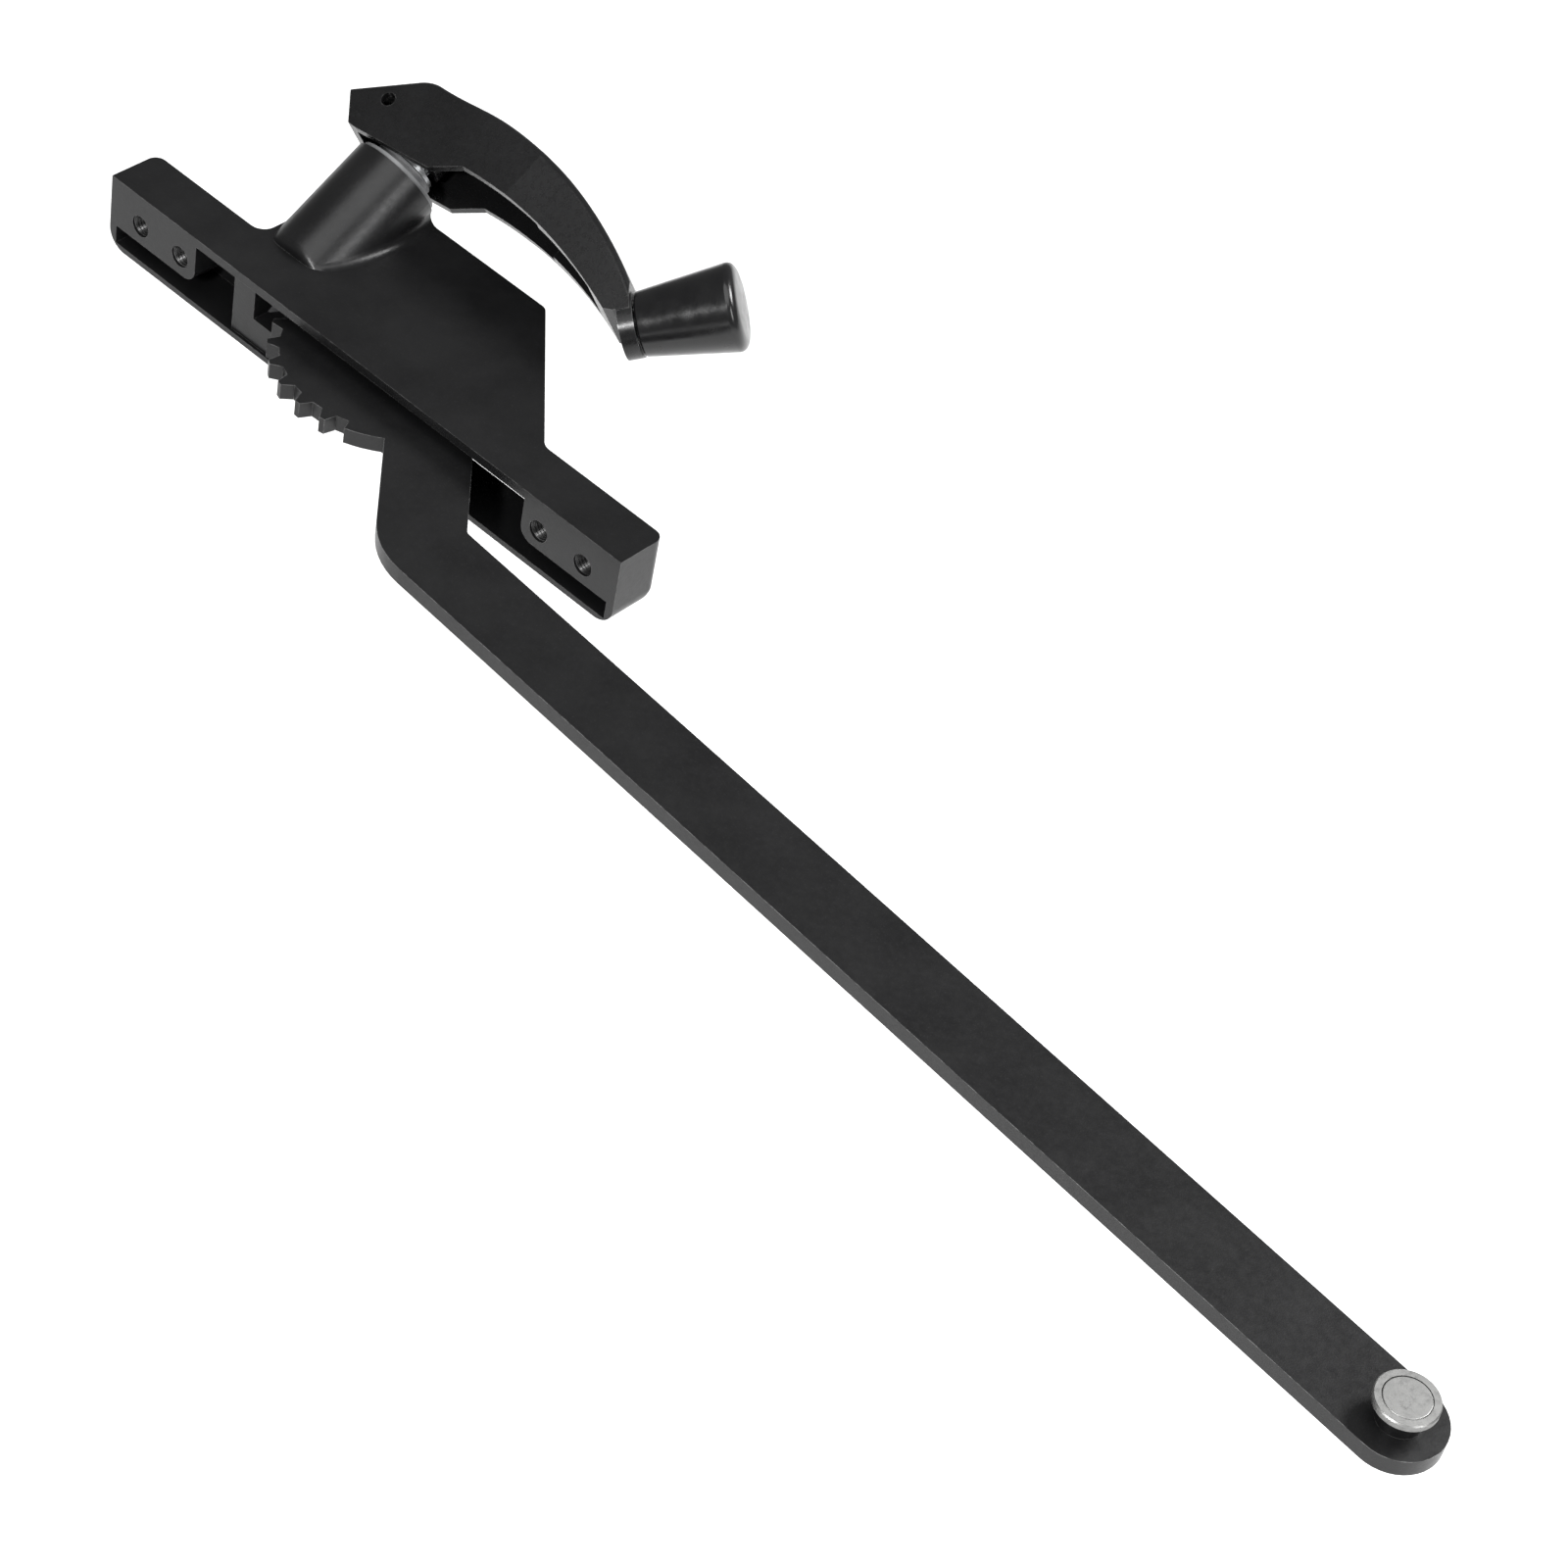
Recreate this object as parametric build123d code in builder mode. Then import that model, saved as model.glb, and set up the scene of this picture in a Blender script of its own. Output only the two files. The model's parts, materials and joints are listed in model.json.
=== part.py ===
"""Crank-operated single-arm casement window operator, modelled in millimetres.

Frame: the origin is the centre of the row of four tapped mounting holes, on the front
mounting face. +X runs along the mounting bar towards the sash stud, +Y into the room
and +Z up, towards the crank.
"""

import os
from math import cos, radians, sin

from build123d import *

os.makedirs("parts", exist_ok=True)

# ---- mounting bar: a die-cast channel, open at the front -------------------------------
BAR_LENGTH = 160.0
BAR_DEPTH = 13.2
TOP_Z = 8.0
BASE_Z = -10.8
ROOF = 2.2
FLOOR = 1.4
END_WALL = 2.1
BACK_WALL = 2.0
BOSS_WIDTH = 28.2
BOSS_LOW_Z = -4.7
BOSS_CORNER = 3.5
HOLE_R = 2.6
HOLE_DEPTH = 10.0
OUTER_HOLES = 140.0
INNER_HOLES = 113.6
MOUTH_LEFT = -33.2
MOUTH_RIGHT = 51.4
RIB_LEFT = -39.8
RIB_SETBACK = 0.8
LIP_TOP = -2.5
LIP_RIGHT = -21.0
LIP_DEPTH = 8.6

TOP_CORNER_R = 2.6
LOW_EDGE_R = 5.0
CASE_FILLET_R = 3.5
FOOT_R = 2.45
NOSE_RIM_R = 2.5

# ---- gear case behind the bar ------------------------------------------------------------
CASE_LEFT = -45.2
CASE_BACK = 46.2
CASE_SUM = 57.3            # x + y along the slanted right side
CASE_WALL = 2.4
COVER_LEDGE = 1.2
COVER_T = 1.2
COVER_LEFT = -32.0
POST_R = 3.2
POSTS = ((-25.8, 40.0), (20.6, 30.4), (32.6, 18.2))
SCREW_R = 1.5
SCREW_HEAD_R = 2.7
SCREW_LENGTH = 8.0
THREAD_HOLE_R = 1.5

# ---- arm, its toothed sector and its pivot -----------------------------------------------
PIVOT = (-1.6, 14.3)
ARM_T = 4.0
ARM_W = 19.0
LEG_START = (12.0, 11.9)
ARM_BEND = (45.1, -23.2)
STUD = (319.3, -44.1)
BEND_R = 11.5
HUB_R = 15.0
TEETH = 25
TIP_R = 28.5
ROOT_R = 25.8
TOOTH_TIP_W = 1.4
TOOTH_ROOT_W = 3.8
FIRST_TOOTH = -92.5        # one tooth's angle about the pivot
SECTOR_START = -210.0
BLANK_START = -67.1
BLANK_END = -47.0
PIN_R = 5.0
TENON_R = 3.6
FLANGE_R = 8.5
BUSH_R = 6.6
BUSH_H = 5.2
WASHER_R = 8.5
WASHER_T = 0.8
RUN = 0.05                 # radial clearance of a running fit
GAP = 0.3                  # clearance between faces that pass each other

# ---- worm and its inclined tube ----------------------------------------------------------
TILT = 30.0
WORM_X = -35.6
WORM_Y = 17.0
TUBE_R = 10.9
TUBE_END = 31.0            # along the worm axis from the arm's mid-plane
TUBE_NOSE_Y = 13.2
BORE_R = 8.05
WORM_TIP_R = 7.8
WORM_CORE_R = 5.2
LEAD = 6.43
THREAD_LOW = -5.0
THREAD_HIGH = 9.4
THREAD_CREST = 0.9
THREAD_ROOT = 2.7
THREAD_PHASE = 222.0
NOSE_R = 3.2
NOSE_END = -11.4
NOSE_BUSH_R = 4.6
JOURNAL_R = 4.8
COLLAR_R = 10.2
SPLINE_R = 4.7
SPLINE_COUNT = 18
SHAFT_TOP = TUBE_END + 16.5

# ---- crank handle, in the plane through the worm axis and the handle's length ------------
HUB_HALF_W = 10.0
TIP_HALF_W = 7.6
TIP_BOSS_R = 7.3
TIP_BOSS_T = 3.6
SHELL = 1.9
HUB_BOSS_R = 7.2
SIDE_HOLE = (-9.1, 11.1)
SIDE_HOLE_R = 1.7
KNOB_AT = (71.4, 5.8)
KNOB_TILT = 47.5
KNOB_LENGTH = 23.2
KNOB_SMALL_R = 7.2
KNOB_BIG_R = 9.8
KNOB_PIN_R = 3.0

# ---- sash stud ---------------------------------------------------------------------------
STUD_TOP = 6.1             # above the arm's top face
ROLLER_R = 6.35
ROLLER_T = 1.7
HEAD_R = 4.7
NECK_R = 4.6
STUD_PIN_R = 3.4

WORM = Plane(
    origin=(WORM_X, WORM_Y, 0),
    x_dir=(1, 0, 0),
    z_dir=(0, cos(radians(TILT)), sin(radians(TILT))),
)
TUBE_MOUTH = WORM.offset(TUBE_END)
HANDLE = Plane(
    origin=TUBE_MOUTH.origin,
    x_dir=(1, 0, 0),
    z_dir=(0, -sin(radians(TILT)), cos(radians(TILT))),
)
KNOB_DIR = HANDLE.x_dir * cos(radians(KNOB_TILT)) + HANDLE.y_dir * sin(radians(KNOB_TILT))
KNOB = Plane(
    origin=HANDLE.from_local_coords((KNOB_AT[0], KNOB_AT[1], 0)),
    x_dir=HANDLE.z_dir,
    z_dir=KNOB_DIR,
)
ARM_TOP = ARM_T / 2
ROOF_Z = TOP_Z - ROOF
FLOOR_Z = BASE_Z + FLOOR
COVER_TOP = FLOOR_Z + COVER_T
THROAT = THREAD_LOW - 0.4
DEEP = BAR_DEPTH - BACK_WALL


def save(builder, name):
    """Labels a finished piece and writes it under its own name."""
    builder.part.label = name
    export_step(builder.part, f"parts/{name}.step")


def block(x, y, z, mode=Mode.ADD):
    """A box between two limits on each axis, joined to the part being built."""
    with BuildSketch(Plane.XY.offset(z[0])) as face:
        with Locations(((x[0] + x[1]) / 2, (y[0] + y[1]) / 2)):
            Rectangle(x[1] - x[0], y[1] - y[0])
    extrude(face.sketch, amount=z[1] - z[0], mode=mode)


def rod(plane, radius, length, inner=0.0, mode=Mode.ADD):
    """A cylinder or a tube that starts on a plane and rises along its normal."""
    with BuildSketch(plane) as face:
        Circle(radius)
        if inner:
            Circle(inner, mode=Mode.SUBTRACT)
    extrude(face.sketch, amount=length, mode=mode)


def case_plan(plane, left, inset, front):
    """The gear case in plan, drawn inside its walls by the inset."""
    back = CASE_BACK - inset
    total = CASE_SUM - inset * 2 ** 0.5
    with BuildSketch(plane) as plan:
        with BuildLine():
            Polyline(
                (left, front),
                (left, back),
                (total - back, back),
                (total - front, front),
                close=True,
            )
        make_face()
        fillet(plan.vertices().group_by(Axis.Y)[-1], 2.6)
    return plan.sketch


# ---- housing: bar, gear case and worm tube in one casting --------------------------------
with BuildPart() as housing:
    block((-BAR_LENGTH / 2, BAR_LENGTH / 2), (0, BAR_DEPTH), (BASE_Z, TOP_Z))
    fillet(housing.edges().filter_by(Axis.Z).group_by(Axis.Y)[-1], TOP_CORNER_R)
    low_back = housing.edges().filter_by(Axis.X).group_by(Axis.Z)[0]
    fillet(low_back.sort_by(Axis.Y)[-1], LOW_EDGE_R)
    case_face = case_plan(Plane.XY.offset(BASE_Z), CASE_LEFT, 0, BAR_DEPTH / 2)
    extrude(case_face, amount=TOP_Z - BASE_Z)
    # The worm tube rises out of the case and stops in a flat nose behind the bar.
    rod(WORM.offset(NOSE_END - 4.0), TUBE_R, TUBE_END - NOSE_END + 4.0)
    block((-BAR_LENGTH, BAR_LENGTH), (-30, TUBE_NOSE_Y), (TOP_Z, TOP_Z + 40), Mode.SUBTRACT)
    block((-BAR_LENGTH, BAR_LENGTH), (-30, 90), (BASE_Z - 40, BASE_Z), Mode.SUBTRACT)
    block((-BAR_LENGTH, BAR_LENGTH), (-40, 0), (BASE_Z, TOP_Z), Mode.SUBTRACT)

    # The tube flares into the case's flat top, and the case into the bar's back.
    inner_corners = housing.edges().filter_by(Axis.Z).filter_by(
        lambda e: abs(e.center().Y - BAR_DEPTH) < 0.1 and abs(e.center().X) < 46.0
    )
    fillet(inner_corners, CASE_FILLET_R)
    foot = housing.edges().filter_by(
        lambda e: abs(e.center().Z - TOP_Z) < 0.05
        and e.bounding_box().size.Z < 0.01
        and TUBE_NOSE_Y + 0.5 < e.center().Y < CASE_BACK
        and WORM_X < e.center().X < WORM_X + TUBE_R + 4
        and e.geom_type != GeomType.LINE
    )
    fillet(foot, FOOT_R)
    nose_rim = housing.edges().filter_by(
        lambda e: abs(e.center().Y - TUBE_NOSE_Y) < 0.05
        and e.bounding_box().size.Y < 0.01
        and e.center().Z > TOP_Z + 1
    )
    fillet(nose_rim, NOSE_RIM_R)

    # Pockets in the front of the bar, beside and under the screw bosses.
    pocket_end = BAR_LENGTH / 2 - END_WALL
    boss_end = BAR_LENGTH / 2 - BOSS_WIDTH
    for side, inner in ((-1, RIB_LEFT), (1, MOUTH_RIGHT - 6.0)):
        with BuildSketch(Plane.XZ) as pocket:
            with BuildLine():
                Polyline(
                    (side * pocket_end, FLOOR_Z),
                    (inner, FLOOR_Z),
                    (inner, ROOF_Z),
                    (side * boss_end, ROOF_Z),
                    (side * boss_end, BOSS_LOW_Z),
                    (side * pocket_end, BOSS_LOW_Z),
                    close=True,
                )
            make_face()
            corner = pocket.vertices().sort_by_distance((side * boss_end, BOSS_LOW_Z, 0))
            fillet(corner[0], BOSS_CORNER)
        extrude(amount=-DEEP, mode=Mode.SUBTRACT)

    # The mouth that the arm swings in, and the gear cavity with its open underside.
    block((MOUTH_LEFT, MOUTH_RIGHT), (-1, DEEP), (FLOOR_Z, ROOF_Z), Mode.SUBTRACT)
    gear_left = PIVOT[0] - TIP_R - 0.6
    cavity = case_plan(Plane.XY.offset(FLOOR_Z), gear_left, CASE_WALL, BAR_DEPTH / 2)
    extrude(cavity, amount=ROOF_Z - FLOOR_Z, mode=Mode.SUBTRACT)
    recess = case_plan(Plane.XY.offset(BASE_Z - 1), COVER_LEFT, COVER_LEDGE, BAR_DEPTH)
    extrude(recess, amount=COVER_TOP - BASE_Z + 1, mode=Mode.SUBTRACT)

    # The front face of the rib beside the mouth, and the low lip under the gear's teeth.
    block((RIB_LEFT, MOUTH_LEFT), (-1, RIB_SETBACK), (FLOOR_Z, ROOF_Z), Mode.SUBTRACT)
    block((MOUTH_LEFT, LIP_RIGHT), (RIB_SETBACK, LIP_DEPTH), (FLOOR_Z, LIP_TOP))

    # Posts for the cover's screws, and the seat of the pivot pin under the roof.
    for post in POSTS:
        rod(Plane((post[0], post[1], COVER_TOP)), POST_R, ROOF_Z - COVER_TOP)
    seat_z = BUSH_H / 2 + GAP + WASHER_T
    rod(Plane((PIVOT[0], PIVOT[1], seat_z)), FLANGE_R, ROOF_Z - seat_z)
    rod(Plane((PIVOT[0], PIVOT[1], seat_z)), TENON_R, TOP_Z - 1.0 - seat_z, 0, Mode.SUBTRACT)
    for post in POSTS:
        rod(Plane((post[0], post[1], COVER_TOP)), THREAD_HOLE_R, 9.0, 0, Mode.SUBTRACT)

    # Bores for the worm, its nose bush and its collar.
    rod(WORM.offset(THROAT), BORE_R, TUBE_END - THROAT + 1, 0, Mode.SUBTRACT)
    rod(WORM.offset(NOSE_END), NOSE_BUSH_R, THROAT - NOSE_END + 1, 0, Mode.SUBTRACT)

    # The four tapped mounting holes.
    for x in (-OUTER_HOLES / 2, -INNER_HOLES / 2, INNER_HOLES / 2, OUTER_HOLES / 2):
        rod(Plane((x, 0, 0), z_dir=(0, 1, 0)), HOLE_R, HOLE_DEPTH, 0, Mode.SUBTRACT)
save(housing, "housing")

# ---- cover under the gear case, with its screws ------------------------------------------
with BuildPart() as cover:
    plate = case_plan(
        Plane.XY.offset(FLOOR_Z), COVER_LEFT + 0.1, COVER_LEDGE + 0.1, BAR_DEPTH + 0.1
    )
    extrude(plate, amount=COVER_T)
    # A tab over the bar's floor carries the foot of the pivot pin.
    tab = (PIVOT[0] - 11.0, PIVOT[0] + 11.0)
    block(tab, (4.6, BAR_DEPTH + 1), (FLOOR_Z, COVER_TOP))
    fillet(cover.edges().filter_by(Axis.Z).group_by(Axis.Y)[0], 4.0)
    for post in POSTS:
        rod(Plane((post[0], post[1], FLOOR_Z)), SCREW_R + 0.15, COVER_T, 0, Mode.SUBTRACT)
    rod(Plane((PIVOT[0], PIVOT[1], FLOOR_Z)), TENON_R, COVER_T, 0, Mode.SUBTRACT)
save(cover, "cover")

with BuildPart() as cover_screws:
    for post in POSTS:
        rod(Plane((post[0], post[1], FLOOR_Z)), SCREW_R - 0.02, SCREW_LENGTH)
        rod(Plane((post[0], post[1], FLOOR_Z - 1.2)), SCREW_HEAD_R, 1.2)
        with BuildSketch(Plane((post[0], post[1], FLOOR_Z - 1.2))) as slot:
            Rectangle(2.6, 0.6)
            Rectangle(0.6, 2.6)
        extrude(amount=0.7, mode=Mode.SUBTRACT)
    rims = cover_screws.edges().filter_by(GeomType.CIRCLE).group_by(Axis.Z)[0]
    fillet(rims, 0.4)
save(cover_screws, "cover_screws")

# ---- arm pivot ---------------------------------------------------------------------------
PIVOT_AXIS = Plane((PIVOT[0], PIVOT[1], 0))
with BuildPart() as pivot_pin:
    rod(PIVOT_AXIS.offset(COVER_TOP), FLANGE_R, -seat_z - COVER_TOP)
    rod(PIVOT_AXIS.offset(-seat_z), PIN_R, 2 * seat_z)
    rod(PIVOT_AXIS.offset(seat_z), TENON_R, TOP_Z - 1.2 - seat_z)
    rod(PIVOT_AXIS.offset(FLOOR_Z), TENON_R, COVER_T)
    chamfer(pivot_pin.edges().filter_by(GeomType.CIRCLE).group_by(Axis.Z)[-1], 0.4)
save(pivot_pin, "pivot_pin")

with BuildPart() as pivot_bush:
    rod(PIVOT_AXIS.offset(-BUSH_H / 2), BUSH_R, BUSH_H, PIN_R + RUN)
    chamfer(pivot_bush.edges().filter_by(GeomType.CIRCLE), 0.3)
save(pivot_bush, "pivot_bush")

with BuildPart() as pivot_washers:
    rod(PIVOT_AXIS.offset(seat_z - WASHER_T), WASHER_R, WASHER_T, PIN_R + 0.02)
    rod(PIVOT_AXIS.offset(-seat_z), WASHER_R, WASHER_T, PIN_R + 0.02)
save(pivot_washers, "pivot_washers")

# ---- arm: a stamped strip with its toothed sector ----------------------------------------
PITCH_ANGLE = 360 / TEETH
LAST_TOOTH = FIRST_TOOTH + PITCH_ANGLE
TOOTH_COUNT = 1 + int((LAST_TOOTH - SECTOR_START - PITCH_ANGLE / 2) / PITCH_ANGLE)


def wedge(plane, radius, start, end):
    """A sector of a disc about the plane's origin, between two angles in degrees."""
    with BuildSketch(plane) as sector:
        with BuildLine():
            rim = CenterArc((0, 0), radius, start, end - start)
            Line((0, 0), rim @ 0)
            Line(rim @ 1, (0, 0))
        make_face()
    return sector.sketch


ARM_LOW = PIVOT_AXIS.offset(-ARM_TOP)
with BuildPart() as arm:
    with BuildSketch(Plane.XY.offset(-ARM_TOP)):
        with BuildLine():
            FilletPolyline(LEG_START, ARM_BEND, STUD, radius=BEND_R)
        trace(line_width=ARM_W)
        with Locations(STUD):
            Circle(ARM_W / 2)
        with Locations(PIVOT):
            Circle(HUB_R)
    extrude(amount=ARM_T)
    extrude(wedge(ARM_LOW, ROOT_R, SECTOR_START, BLANK_START), amount=ARM_T)
    extrude(wedge(ARM_LOW, TIP_R, BLANK_START, BLANK_END), amount=ARM_T)
    with BuildSketch(ARM_LOW) as teeth:
        for i in range(TOOTH_COUNT):
            with Locations(Location((0, 0, 0), (0, 0, LAST_TOOTH - i * PITCH_ANGLE))):
                with BuildLine(mode=Mode.PRIVATE) as tooth:
                    Polyline(
                        (ROOT_R - 1, -TOOTH_ROOT_W / 2),
                        (ROOT_R, -TOOTH_ROOT_W / 2),
                        (TIP_R, -TOOTH_TIP_W / 2),
                        (TIP_R, TOOTH_TIP_W / 2),
                        (ROOT_R, TOOTH_ROOT_W / 2),
                        (ROOT_R - 1, TOOTH_ROOT_W / 2),
                        close=True,
                    )
                add(make_face(tooth.edges(), mode=Mode.PRIVATE))
    extrude(amount=ARM_T)
    rod(ARM_LOW, BUSH_R, ARM_T, 0, Mode.SUBTRACT)
    rod(Plane((STUD[0], STUD[1], -ARM_TOP)), STUD_PIN_R, ARM_T, 0, Mode.SUBTRACT)
save(arm, "arm")

# ---- sash stud: a riveted pin with a collar, and the roller that turns on it -------------
STUD_AXIS = Plane((STUD[0], STUD[1], 0))
STUD_HIGH = ARM_TOP + STUD_TOP
ROLLER_LOW = STUD_HIGH - ROLLER_T
with BuildPart() as stud_pin:
    rod(STUD_AXIS.offset(-ARM_TOP), STUD_PIN_R, STUD_HIGH + ARM_TOP - 0.1)
    rod(STUD_AXIS.offset(-ARM_TOP - 1.0), STUD_PIN_R + 1.6, 1.0)
    rod(STUD_AXIS.offset(STUD_HIGH - 0.7), HEAD_R, 0.7)
    fillet(stud_pin.edges().filter_by(GeomType.CIRCLE).group_by(Axis.Z)[0], 0.7)
    fillet(stud_pin.edges().filter_by(GeomType.CIRCLE).group_by(Axis.Z)[-1], 0.2)
save(stud_pin, "stud_pin")

with BuildPart() as stud_collar:
    rod(STUD_AXIS.offset(ARM_TOP), NECK_R, ROLLER_LOW - GAP - ARM_TOP, STUD_PIN_R)
    chamfer(stud_collar.edges().filter_by(GeomType.CIRCLE).group_by(Axis.Z)[-1], 0.3)
save(stud_collar, "stud_collar")

with BuildPart() as stud_roller:
    rod(STUD_AXIS.offset(ROLLER_LOW), ROLLER_R, ROLLER_T, STUD_PIN_R + RUN)
    rod(STUD_AXIS.offset(STUD_HIGH - 0.7 - GAP), HEAD_R + RUN + 0.05, 2, 0, Mode.SUBTRACT)
    edge = stud_roller.edges().filter_by(GeomType.CIRCLE).sort_by(SortBy.RADIUS)[-2:]
    chamfer(edge, 0.25)
save(stud_roller, "stud_roller")

# ---- worm shaft, bushes and retaining ring -----------------------------------------------
with BuildPart() as thread:
    # The single left-hand thread, swept along its helix about the vertical.
    with BuildLine() as helix:
        Helix(LEAD, THREAD_HIGH - THREAD_LOW - THREAD_ROOT, WORM_CORE_R, lefthand=True)
    tangent = helix.line % 0
    with BuildSketch(Plane((WORM_CORE_R, 0, 0), x_dir=(1, 0, 0), z_dir=tangent)) as profile:
        with BuildLine():
            Polyline(
                (-0.6, -THREAD_ROOT / 2),
                (0, -THREAD_ROOT / 2),
                (WORM_TIP_R - WORM_CORE_R, -THREAD_CREST / 2),
                (WORM_TIP_R - WORM_CORE_R, THREAD_CREST / 2),
                (0, THREAD_ROOT / 2),
                (-0.6, THREAD_ROOT / 2),
                close=True,
            )
        make_face()
    sweep(profile.sketch, path=helix.wires()[0], is_frenet=True)

with BuildPart() as worm_shaft:
    rod(WORM.offset(NOSE_END + 0.3), NOSE_R, THREAD_LOW - NOSE_END - 0.3)
    rod(WORM.offset(THREAD_LOW), WORM_CORE_R, THREAD_HIGH - THREAD_LOW)
    rod(WORM.offset(THREAD_HIGH), WORM_TIP_R - 0.3, 1.6)
    rod(WORM.offset(THREAD_HIGH + 1.6), JOURNAL_R, TUBE_END + 5.0 - THREAD_HIGH - 1.6)
    rod(WORM.offset(TUBE_END + 5.0), SPLINE_R - 0.4, SHAFT_TOP - TUBE_END - 5.0)
    with BuildSketch(WORM.offset(TUBE_END + 5.0)):
        with PolarLocations(SPLINE_R - 0.35, SPLINE_COUNT):
            Rectangle(0.7, 0.8)
    extrude(amount=SHAFT_TOP - TUBE_END - 5.8)
    turned = WORM.offset(THREAD_LOW + THREAD_ROOT / 2).location * Rot(0, 0, THREAD_PHASE)
    add(thread.part.moved(turned))
save(worm_shaft, "worm_shaft")

with BuildPart() as nose_bush:
    rod(WORM.offset(NOSE_END), NOSE_BUSH_R - 0.01, THROAT - NOSE_END, NOSE_R + RUN)
save(nose_bush, "nose_bush")

BUSH_LOW = THREAD_HIGH + 1.6 + GAP
with BuildPart() as worm_bush:
    rod(WORM.offset(BUSH_LOW), BORE_R - 0.01, TUBE_END - BUSH_LOW)
    rod(TUBE_MOUTH, COLLAR_R, 1.0)
    rod(TUBE_MOUTH, 7.4, 3.0)
    rod(WORM.offset(BUSH_LOW), JOURNAL_R + RUN, TUBE_END, 0, Mode.SUBTRACT)
save(worm_bush, "worm_bush")

with BuildPart() as retaining_ring:
    with BuildSketch(TUBE_MOUTH.offset(3.0 + GAP)):
        Circle(6.8)
        Circle(JOURNAL_R + 0.02, mode=Mode.SUBTRACT)
        with Locations((0, 7.0)):
            Rectangle(4.0, 5.6, mode=Mode.SUBTRACT)
        with Locations((3.0, 5.6), (-3.0, 5.6)):
            Circle(1.5)
            Circle(0.6, mode=Mode.SUBTRACT)
    extrude(amount=0.9)
save(retaining_ring, "retaining_ring")

# ---- crank handle: a hollow lever, open underneath ---------------------------------------
# The hub's back slopes up to a bulge over the shaft, then the top falls to the knob.
with BuildPart() as crank_handle:
    with BuildSketch(HANDLE):
        with BuildLine():
            Polyline((-12.6, 1.4), (-18.7, 8.4), (-6.6, 18.9))
            Bezier((-6.6, 18.9), (-4.5, 20.7), (-1.8, 20.9))
            Spline(
                (-1.8, 20.9), (15.1, 22.7), (26.8, 22.5), (37.9, 21.0), (57.7, 14.7),
                (66.2, 10.6),
                tangents=((1, 0.03), (cos(radians(-29)), sin(radians(-29)))),
            )
            Polyline((66.2, 10.6), (70.9, 5.5), (68.4, 2.8), (66.4, 1.8))
            Spline((66.4, 1.8), (60.5, 3.8), (45.1, 7.6), (24.7, 9.0), (17.2, 8.5))
            Polyline((17.2, 8.5), (10.6, 3.7), (-10.2, 1.4), (-12.6, 1.4))
        make_face()
    extrude(amount=HUB_HALF_W, both=True)
    with BuildSketch(Plane(HANDLE.origin, x_dir=(1, 0, 0), z_dir=HANDLE.y_dir)):
        with BuildLine():
            Polyline(
                (-20, -HUB_HALF_W),
                (30, -HUB_HALF_W),
                (71, -TIP_HALF_W),
                (71, TIP_HALF_W),
                (30, HUB_HALF_W),
                (-20, HUB_HALF_W),
                close=True,
            )
        make_face()
    extrude(amount=60, both=True, mode=Mode.INTERSECT)
    long_edges = crank_handle.edges().filter_by(
        lambda e: abs(HANDLE.to_local_coords(e @ 0.5).Y) > 11.5
        and abs(HANDLE.to_local_coords(e @ 0.5).Z) > 8.5
        and HANDLE.to_local_coords(e @ 0.5).X < 65
    )
    fillet(long_edges, 1.6)
    # The hollow, open underneath from the hub to the pad that carries the knob.
    with BuildSketch(HANDLE) as hollow:
        with BuildLine():
            Polyline((-10.4, -6), (-10.4, 2.0), (-15.9, 8.8), (-5.2, 18.0))
            Bezier((-5.2, 18.0), (-3.7, 18.9), (-1.8, 19.0))
            Spline(
                (-1.8, 19.0), (15.1, 20.8), (26.6, 20.6), (37.3, 19.1), (56.0, 13.3),
                tangents=((1, 0.03), (cos(radians(-24)), sin(radians(-24)))),
            )
            Polyline((56.0, 13.3), (59.0, 6.0), (59.0, -6), (-10.4, -6))
        make_face()
    extrude(hollow.sketch, amount=TIP_HALF_W - 1.3, both=True, mode=Mode.SUBTRACT)
    with BuildSketch(HANDLE) as wide_hollow:
        add(hollow.sketch_local)
        Rectangle(80, 80, mode=Mode.INTERSECT)
    extrude(wide_hollow.sketch, amount=HUB_HALF_W - SHELL, both=True, mode=Mode.SUBTRACT)
    # The hub inside the hollow, bored for the shaft's splines.
    hub_low = TUBE_MOUTH.offset(6.0)
    rod(hub_low, HUB_BOSS_R, 13.6)
    rod(TUBE_MOUTH.offset(4.0), SPLINE_R + 0.02, 13.0, 0, Mode.SUBTRACT)
    # A small hole in the near wall, above the hub's lip.
    hole_at = HANDLE.from_local_coords((SIDE_HOLE[0], SIDE_HOLE[1], HUB_HALF_W - SHELL - 1))
    rod(Plane(hole_at, z_dir=HANDLE.z_dir), SIDE_HOLE_R, 6, 0, Mode.SUBTRACT)
    # The round boss at the tip, in line with the knob, and the seat of the knob's pin.
    rod(KNOB.offset(-TIP_BOSS_T), TIP_BOSS_R, TIP_BOSS_T - 0.1)
    rod(KNOB.offset(-TIP_BOSS_T + 0.5), KNOB_PIN_R, 9.0, 0, Mode.SUBTRACT)
save(crank_handle, "crank_handle")

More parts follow.
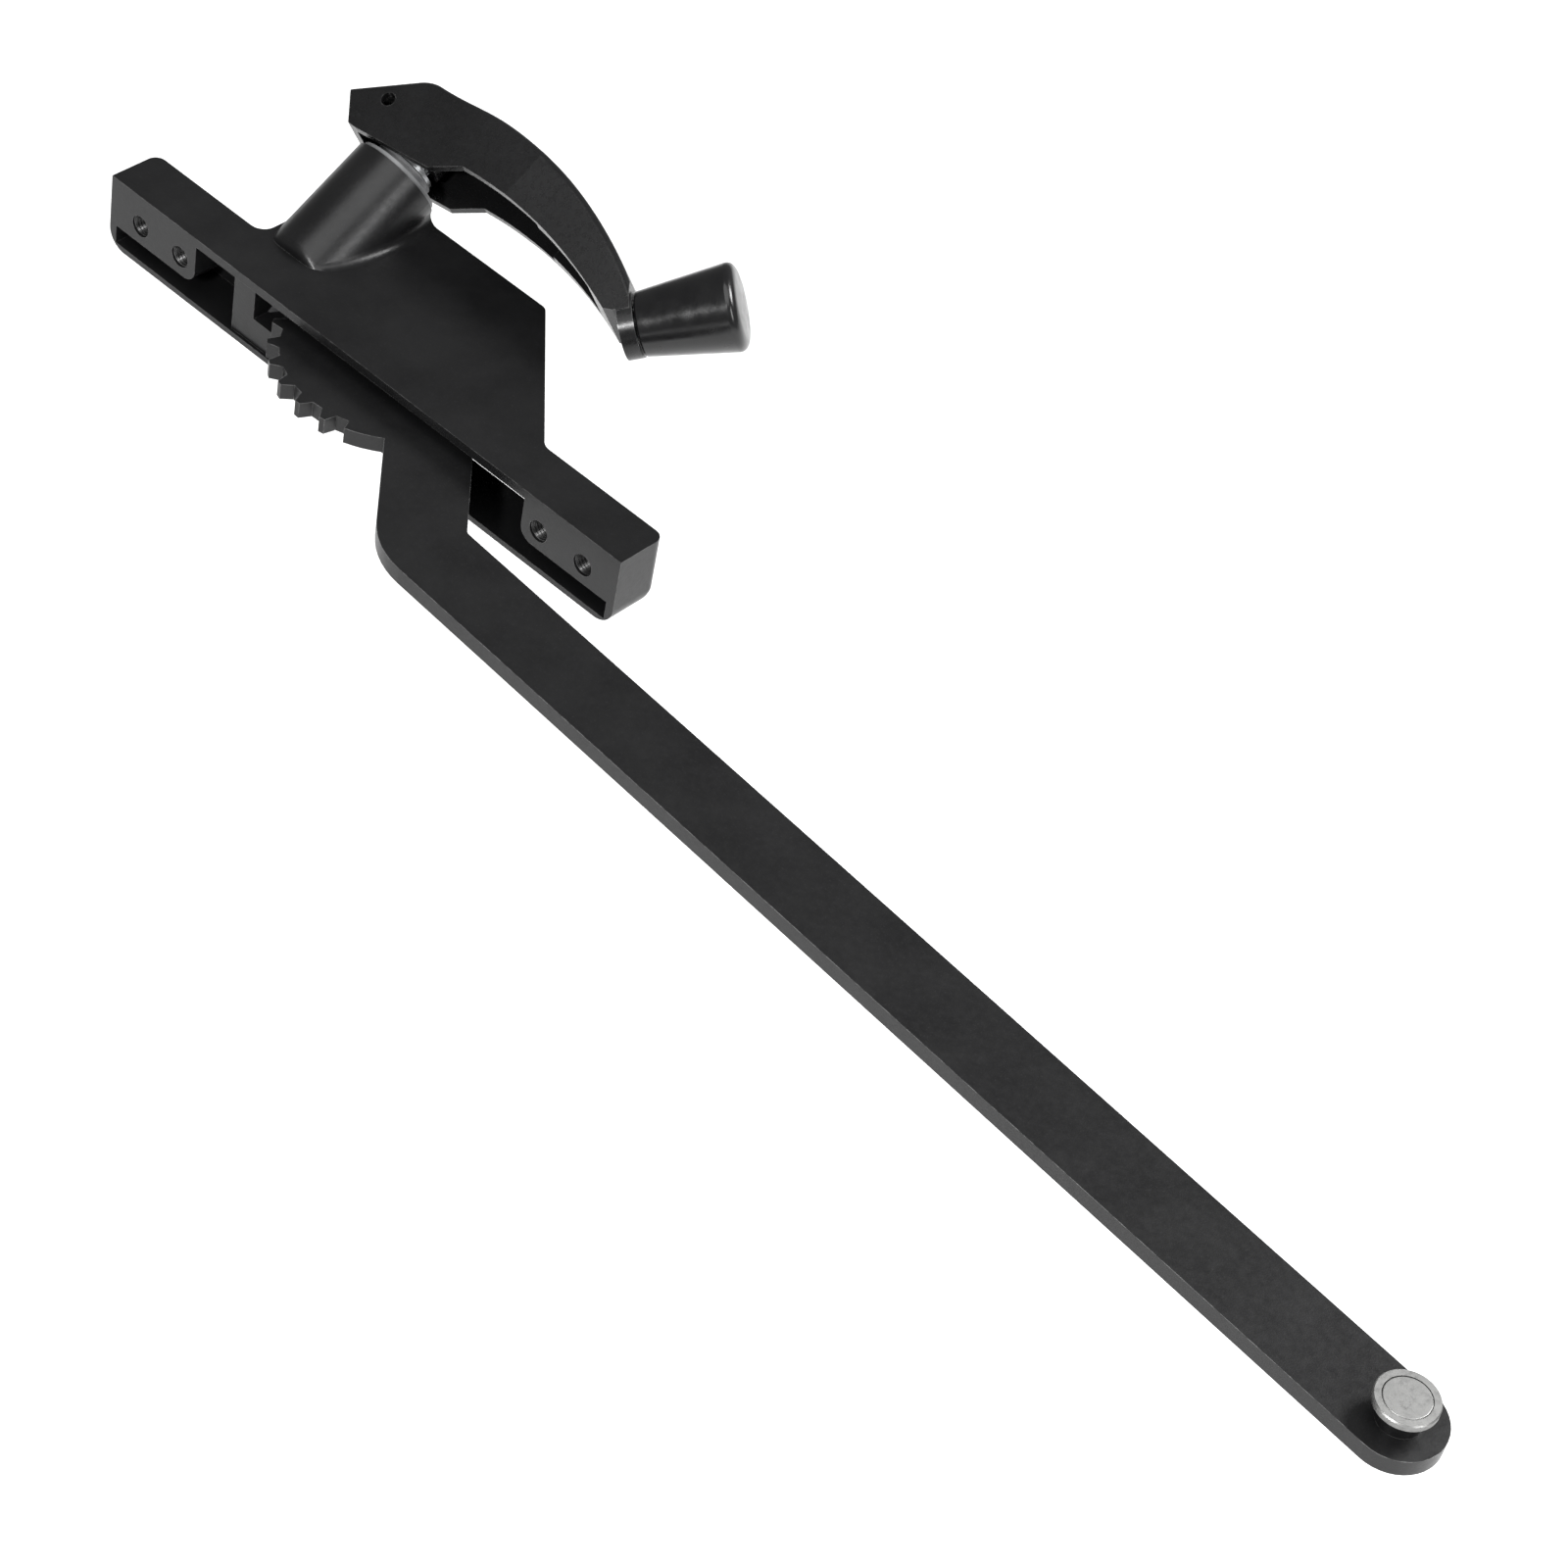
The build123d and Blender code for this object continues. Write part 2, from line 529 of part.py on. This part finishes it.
# ---- knob: a tapered grip that turns on a shouldered pin ---------------------------------
PIN_DEPTH = KNOB_LENGTH - 5.0
with BuildPart() as knob:
    with BuildSketch(Plane(KNOB.origin, x_dir=KNOB.x_dir, z_dir=-KNOB.y_dir)):
        with BuildLine():
            Polyline((0, GAP), (KNOB_SMALL_R - 0.4, GAP), (KNOB_SMALL_R, GAP + 0.4))
            Line((KNOB_SMALL_R, GAP + 0.4), (KNOB_BIG_R, KNOB_LENGTH - 2.5))
            Bezier(
                (KNOB_BIG_R, KNOB_LENGTH - 2.5),
                (KNOB_BIG_R, KNOB_LENGTH - 0.7),
                (KNOB_BIG_R - 2.4, KNOB_LENGTH - 0.3),
            )
            Bezier(
                (KNOB_BIG_R - 2.4, KNOB_LENGTH - 0.3),
                (KNOB_BIG_R / 2, KNOB_LENGTH),
                (0, KNOB_LENGTH),
            )
            Line((0, KNOB_LENGTH), (0, GAP))
        make_face()
    revolve(axis=Axis(KNOB.origin, KNOB.z_dir))
    rod(KNOB, KNOB_PIN_R + RUN, PIN_DEPTH, 0, Mode.SUBTRACT)
    rod(KNOB.offset(PIN_DEPTH - 4.0), 4.2, 4.0, 0, Mode.SUBTRACT)
save(knob, "knob")

with BuildPart() as knob_pin:
    rod(KNOB.offset(-TIP_BOSS_T + 0.5), KNOB_PIN_R, PIN_DEPTH + TIP_BOSS_T - 0.5 - GAP)
    rod(KNOB.offset(PIN_DEPTH - 4.0 + GAP), 3.9, 1.2)
save(knob_pin, "knob_pin")
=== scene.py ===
"""Visual model of a crank-operated casement window operator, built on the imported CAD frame."""

import json
import math

import bmesh
import bpy
from mathutils import Matrix, Vector


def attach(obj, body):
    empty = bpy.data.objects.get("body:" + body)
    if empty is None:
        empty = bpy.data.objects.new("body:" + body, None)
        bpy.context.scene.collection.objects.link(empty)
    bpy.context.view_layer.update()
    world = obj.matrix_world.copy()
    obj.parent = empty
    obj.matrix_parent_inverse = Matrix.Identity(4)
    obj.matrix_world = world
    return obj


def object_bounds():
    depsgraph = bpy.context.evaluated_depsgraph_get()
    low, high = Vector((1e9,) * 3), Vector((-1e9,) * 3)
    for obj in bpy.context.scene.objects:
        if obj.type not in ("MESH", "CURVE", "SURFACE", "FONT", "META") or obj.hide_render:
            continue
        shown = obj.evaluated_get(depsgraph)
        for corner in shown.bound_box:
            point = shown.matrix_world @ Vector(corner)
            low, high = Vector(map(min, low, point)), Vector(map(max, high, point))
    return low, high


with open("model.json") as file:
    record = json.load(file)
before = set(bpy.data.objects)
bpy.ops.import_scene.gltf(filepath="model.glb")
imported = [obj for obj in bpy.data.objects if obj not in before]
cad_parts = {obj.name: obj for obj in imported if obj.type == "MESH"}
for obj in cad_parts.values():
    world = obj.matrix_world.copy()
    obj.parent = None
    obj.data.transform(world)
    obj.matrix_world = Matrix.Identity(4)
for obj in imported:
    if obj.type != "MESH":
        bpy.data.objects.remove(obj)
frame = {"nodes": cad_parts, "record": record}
cad_low, cad_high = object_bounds()
NODES = frame["nodes"]

FLOOR_DROP = 0.12          # the studio floor lies this far under the hung object
CAMERA_AT = Vector((0.462354, -0.489530, 0.561091))
CAMERA_FORWARD = Vector((-0.40072, 0.59028, -0.70071))
CAMERA_RIGHT = Vector((0.7233, 0.6733, 0.1535))
CAMERA_LENS = 92.18
CAMERA_SHIFT = (0.0055, 0.0061)
CAMERA_SENSOR = 36

# Finishes. Lengths are in metres and noise scales in cycles per metre.
BLACK = (0.0050, 0.0050, 0.0053)
BLACK_LIGHT = (0.0080, 0.0080, 0.0083)
# Pale grey of bare metal where paint is worn on sharp edges; on the same edges it is also a
# painted highlight.
EDGE_WEAR_AND_HIGHLIGHT_TONE = (0.34, 0.34, 0.34)
EDGE_WEAR_AND_HIGHLIGHT_RADIUS = 0.00022      # how far from a sharp edge the paint is worn and the painted edge highlight reaches
PAINT_SPECULAR = 0.32
PAINT_RELIEF = 0.00004
TOOL_MARK_RELIEF = 0.00002
MOULDED_RELIEF = 0.00003
MOULDED_GRAIN = 1800


# ---- material building blocks --------------------------------------------------------------
def new_material(name):
    """An empty node material with a Principled shader, and its node tree."""
    mat = bpy.data.materials.new(name)
    mat.use_nodes = True
    tree = mat.node_tree
    tree.nodes.clear()
    out = tree.nodes.new("ShaderNodeOutputMaterial")
    shader = tree.nodes.new("ShaderNodeBsdfPrincipled")
    tree.links.new(shader.outputs["BSDF"], out.inputs["Surface"])
    return mat, tree, shader


def position(tree, stretch=(1, 1, 1)):
    """Object coordinates, stretched along each axis."""
    coords = tree.nodes.new("ShaderNodeTexCoord")
    mapping = tree.nodes.new("ShaderNodeMapping")
    mapping.inputs["Scale"].default_value = stretch
    tree.links.new(coords.outputs["Object"], mapping.inputs["Vector"])
    return mapping.outputs["Vector"]


def noise(tree, scale, detail=3.0, rough=0.55, vector=None):
    """A noise value at a scale in cycles per metre."""
    node = tree.nodes.new("ShaderNodeTexNoise")
    node.inputs["Scale"].default_value = scale
    node.inputs["Detail"].default_value = detail
    node.inputs["Roughness"].default_value = rough
    tree.links.new(vector or position(tree), node.inputs["Vector"])
    return node.outputs["Fac"]


def remap(tree, value, low, high, to_low, to_high):
    """A value taken from one range to another, and kept inside it."""
    node = tree.nodes.new("ShaderNodeMapRange")
    limits = {"From Min": low, "From Max": high, "To Min": to_low, "To Max": to_high}
    for slot, number in limits.items():
        node.inputs[slot].default_value = number
    tree.links.new(value, node.inputs["Value"])
    return node.outputs["Result"]


def combine(tree, kind, a, b):
    """Two values through a math node. Either may be a number."""
    node = tree.nodes.new("ShaderNodeMath")
    node.operation = kind
    for socket, value in zip(node.inputs, (a, b)):
        if isinstance(value, (int, float)):
            socket.default_value = value
        else:
            tree.links.new(value, socket)
    return node.outputs["Value"]


def blend(tree, factor, a, b):
    """A mix of two colours, each a tuple or a socket."""
    node = tree.nodes.new("ShaderNodeMix")
    node.data_type = "RGBA"
    tree.links.new(factor, node.inputs["Factor"])
    for socket, value in zip((node.inputs[6], node.inputs[7]), (a, b)):
        if isinstance(value, tuple):
            socket.default_value = (*value, 1)
        else:
            tree.links.new(value, socket)
    return node.outputs[2]


def edge_wear_and_highlight_mask(tree, radius):
    """0 on open faces and 1 on sharp edges, where paint wears and a highlight is painted."""
    bevel = tree.nodes.new("ShaderNodeBevel")
    bevel.samples = 6
    bevel.inputs["Radius"].default_value = radius
    geometry = tree.nodes.new("ShaderNodeNewGeometry")
    dot = tree.nodes.new("ShaderNodeVectorMath")
    dot.operation = "DOT_PRODUCT"
    tree.links.new(bevel.outputs["Normal"], dot.inputs[0])
    tree.links.new(geometry.outputs["Normal"], dot.inputs[1])
    return remap(tree, combine(tree, "SUBTRACT", 1.0, dot.outputs["Value"]), 0.02, 0.25, 0, 1)


def bump(tree, shader, height, distance, strength):
    """Feeds a height into the shader's normal."""
    node = tree.nodes.new("ShaderNodeBump")
    node.inputs["Distance"].default_value = distance
    node.inputs["Strength"].default_value = strength
    tree.links.new(height, node.inputs["Height"])
    tree.links.new(node.outputs["Normal"], shader.inputs["Normal"])


def black_finish(name, dark, light, gloss, edge_wear_and_highlight, grain):
    """Black paint on metal: cloudy tone, fine texture, and worn edges that also carry a painted
    highlight.
    """
    mat, tree, shader = new_material(name)
    cloud = remap(tree, noise(tree, 60, 4), 0.35, 0.65, 0, 1)
    speckle = remap(tree, noise(tree, 2600, 2), 0.62, 0.72, 0, 0.5)
    tone = blend(tree, cloud, dark, light)
    tone = blend(tree, speckle, tone, tuple(2.2 * c for c in light))
    patches = remap(tree, noise(tree, 420, 3), 0.42, 0.62, 0.15, 1)
    # Sharp edges turn pale and metallic: worn paint, and a painted highlight along the edges.
    worn_and_highlit = combine(tree, "MULTIPLY", edge_wear_and_highlight_mask(tree, EDGE_WEAR_AND_HIGHLIGHT_RADIUS), patches)
    worn_and_highlit = combine(tree, "MULTIPLY", worn_and_highlit, edge_wear_and_highlight)
    tone = blend(tree, worn_and_highlit, tone, EDGE_WEAR_AND_HIGHLIGHT_TONE)
    tree.links.new(tone, shader.inputs["Base Color"])
    rough = remap(tree, noise(tree, 700, 4), 0.3, 0.7, gloss - 0.04, gloss + 0.05)
    tree.links.new(rough, shader.inputs["Roughness"])
    shader.inputs["Specular IOR Level"].default_value = PAINT_SPECULAR
    tree.links.new(combine(tree, "MULTIPLY", worn_and_highlit, 0.8), shader.inputs["Metallic"])
    bump(tree, shader, noise(tree, grain, 3, 0.6), PAINT_RELIEF, 0.5)
    return mat


def bare_metal(name, tone, gloss, stretch, scale):
    """Turned or plated steel: fine tool marks along one direction."""
    mat, tree, shader = new_material(name)
    marks = noise(tree, scale, 4, 0.7, position(tree, stretch))
    cloud = remap(tree, noise(tree, 90, 3), 0.35, 0.65, 0, 1)
    base = blend(tree, cloud, tuple(0.86 * c for c in tone), tone)
    base = blend(tree, remap(tree, marks, 0.45, 0.7, 0, 0.35), base, tuple(0.6 * c for c in tone))
    stain = remap(tree, noise(tree, 520, 5, 0.65), 0.52, 0.68, 0, 0.4)
    base = blend(tree, stain, base, tuple(0.45 * c for c in tone))
    tree.links.new(base, shader.inputs["Base Color"])
    shader.inputs["Metallic"].default_value = 1.0
    rough = remap(tree, marks, 0.3, 0.7, gloss - 0.07, gloss + 0.1)
    tree.links.new(rough, shader.inputs["Roughness"])
    bump(tree, shader, marks, TOOL_MARK_RELIEF, 0.5)
    return mat


def moulded(name, dark, light, gloss, shine=0.5):
    """Moulded polymer: soft tone changes and a fine leathery grain."""
    mat, tree, shader = new_material(name)
    cloud = remap(tree, noise(tree, 110, 4), 0.35, 0.65, 0, 1)
    tree.links.new(blend(tree, cloud, dark, light), shader.inputs["Base Color"])
    rough = remap(tree, noise(tree, 300, 3), 0.3, 0.7, gloss - 0.05, gloss + 0.07)
    tree.links.new(rough, shader.inputs["Roughness"])
    shader.inputs["Specular IOR Level"].default_value = shine
    bump(tree, shader, noise(tree, MOULDED_GRAIN, 3, 0.6), MOULDED_RELIEF, 0.4)
    return mat


CASTING = black_finish(
    "casting_black", BLACK, BLACK_LIGHT, gloss=0.33, edge_wear_and_highlight=0.42, grain=1500
)
STAMPING = black_finish(
    "stamping_black", (0.0055, 0.0055, 0.0058), (0.0085, 0.0085, 0.0088),
    gloss=0.36, edge_wear_and_highlight=0.80, grain=2400,
)
LEVER = black_finish(
    "lever_black", (0.0048, 0.0048, 0.0050), (0.0075, 0.0075, 0.0078),
    gloss=0.28, edge_wear_and_highlight=0.6, grain=1500,
)
TURNED = bare_metal("steel_turned", (0.30, 0.30, 0.295), gloss=0.42, stretch=(1, 1, 9), scale=900)
PLATED = bare_metal("steel_plated", (0.42, 0.43, 0.44), gloss=0.34, stretch=(6, 1, 1), scale=500)
COLLAR = moulded("bush_grey", (0.115, 0.117, 0.12), (0.16, 0.162, 0.165), gloss=0.45)
BUSH = moulded("bush_dark", (0.03, 0.03, 0.032), (0.05, 0.05, 0.052), gloss=0.5)
KNOB = moulded("knob_black", BLACK, BLACK_LIGHT, gloss=0.21, shine=0.4)

FINISHES = {
    "housing": CASTING,
    "cover": STAMPING,
    "cover_screws": PLATED,
    "pivot_pin": PLATED,
    "pivot_washers": BUSH,
    "worm_bush": COLLAR,
    "nose_bush": BUSH,
    "arm": STAMPING,
    "pivot_bush": BUSH,
    "stud_pin": TURNED,
    "stud_collar": STAMPING,
    "stud_roller": TURNED,
    "worm_shaft": PLATED,
    "retaining_ring": PLATED,
    "crank_handle": LEVER,
    "knob_pin": PLATED,
    "knob": KNOB,
}
for node, material in FINISHES.items():
    part = NODES[node]
    part.data.materials.clear()
    part.data.materials.append(material)


# ---- threads inside the four tapped holes -----------------------------------------------------
THREAD_PITCH = 0.0008
THREAD_CREST = 0.0004      # how far the thread stands in from the hole's wall
THREAD_ROOT = 0.00004      # the same at the thread's root
THREAD_DEPTH = 0.0085
THREAD_START = 0.0002      # how deep in the hole the thread starts
THREAD_FIT = 0.00001       # the sleeve's outer face stays this far inside the wall
THREAD_END = 0.0001        # the outer face starts this deep and ends this far past the thread
THREAD_STEPS = 40


def tapped_thread(name, x, radius):
    """A closed sleeve in a hole along +Y, its inner face cut with a helical V thread."""
    rows = int(2 * THREAD_DEPTH / THREAD_PITCH)
    rings = []
    mesh = bmesh.new()
    for j in range(rows + 1):
        inner = radius - (THREAD_CREST if j % 2 else THREAD_ROOT)
        rings.append((inner, THREAD_START + j * THREAD_PITCH / 2))
    outer = radius - THREAD_FIT
    rings.append((outer, rings[-1][1] + THREAD_END))
    rings.append((outer, THREAD_END))
    grid = []
    for reach, depth in rings:
        ring = []
        for i in range(THREAD_STEPS):
            turn = 2 * math.pi * i / THREAD_STEPS
            lead = THREAD_PITCH * i / THREAD_STEPS
            across, height = reach * math.cos(turn), reach * math.sin(turn)
            ring.append(mesh.verts.new((x + across, depth + lead, height)))
        grid.append(ring)
    for j, ring in enumerate(grid):
        ahead = grid[(j + 1) % len(grid)]
        for i in range(THREAD_STEPS - 1):
            mesh.faces.new((ring[i], ring[i + 1], ahead[i + 1], ahead[i]))
    mesh.faces.new([ring[0] for ring in grid])
    mesh.faces.new([ring[-1] for ring in reversed(grid)])
    bmesh.ops.recalc_face_normals(mesh, faces=mesh.faces)
    data = bpy.data.meshes.new(name)
    mesh.to_mesh(data)
    mesh.free()
    data.materials.append(CASTING)
    obj = bpy.data.objects.new(name, data)
    bpy.context.scene.collection.objects.link(obj)
    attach(obj, "housing")


MOUNTS = {mount["name"]: mount for mount in frame["record"]["mounts"]}
for pair in ("outer", "inner"):
    dims = MOUNTS[f"screws_{pair}"]["dims"]
    for side, word in ((-1, "left"), (1, "right")):
        hole_x = side * dims["spacing_x_mm"] / 2 / 1000
        tapped_thread(f"thread_{pair}_{word}", hole_x, dims["hole_r_mm"] / 1000)


# ---- studio ---------------------------------------------------------------------------------
FLOOR_SIZE = 8
FLOOR_TONE = (0.86, 0.86, 0.86)
LIGHT_AIM = Vector((0.05, 0.0, 0.0))
WORLD_STRENGTH = 0.22


def plain(name, tone, gloss):
    """A matt surface with a barely visible change of tone."""
    mat, tree, shader = new_material(name)
    shade = blend(tree, noise(tree, 8, 2), tuple(0.985 * c for c in tone), tone)
    tree.links.new(shade, shader.inputs["Base Color"])
    shader.inputs["Roughness"].default_value = gloss
    return mat


centre = [(a + b) / 2 for a, b in zip(cad_low, cad_high)]
floor_at = (centre[0], centre[1], cad_low[2] - FLOOR_DROP)
bpy.ops.mesh.primitive_plane_add(size=FLOOR_SIZE, location=floor_at)
floor = bpy.context.object
floor.name = "studio_floor"
floor.data.materials.append(plain("studio_floor", FLOOR_TONE, 0.9))


def softbox(name, toward, distance, width, height, power):
    """A rectangular light that looks at the middle of the object."""
    lamp = bpy.data.lights.new(name, "AREA")
    lamp.shape = "RECTANGLE"
    lamp.size = width
    lamp.size_y = height
    lamp.energy = power
    obj = bpy.data.objects.new(name, lamp)
    bpy.context.scene.collection.objects.link(obj)
    aim = Vector(toward).normalized()
    obj.location = LIGHT_AIM + aim * distance
    obj.rotation_euler = aim.to_track_quat("Z", "Y").to_euler()


softbox("key", (0.45, 0.62, 0.70), distance=1.3, width=0.5, height=0.5, power=20)
softbox("overhead", (0.1, -0.25, 1.0), distance=1.5, width=1.3, height=1.3, power=15)
softbox("side", (0.86, -0.08, 0.50), distance=1.1, width=0.24, height=0.45, power=4)
softbox("front", (0.19, -0.79, 0.59), distance=1.1, width=0.10, height=0.10, power=9)

world = bpy.data.worlds.new("studio_world")
world.use_nodes = True
background = world.node_tree.nodes["Background"]
background.inputs["Color"].default_value = (1, 1, 1, 1)
background.inputs["Strength"].default_value = WORLD_STRENGTH
bpy.context.scene.world = world
bpy.context.scene.view_settings.view_transform = "Standard"

camera_data = bpy.data.cameras.new("camera")
camera_data.lens = CAMERA_LENS
camera_data.sensor_width = CAMERA_SENSOR
camera_data.shift_x, camera_data.shift_y = CAMERA_SHIFT
camera_data.clip_start = 0.01
camera = bpy.data.objects.new("camera", camera_data)
bpy.context.scene.collection.objects.link(camera)
forward = CAMERA_FORWARD.normalized()
right = (CAMERA_RIGHT - forward * CAMERA_RIGHT.dot(forward)).normalized()
up = right.cross(forward)
axes = Matrix((right, up, -forward)).transposed().to_4x4()
camera.matrix_world = Matrix.Translation(CAMERA_AT) @ axes
bpy.context.scene.camera = camera
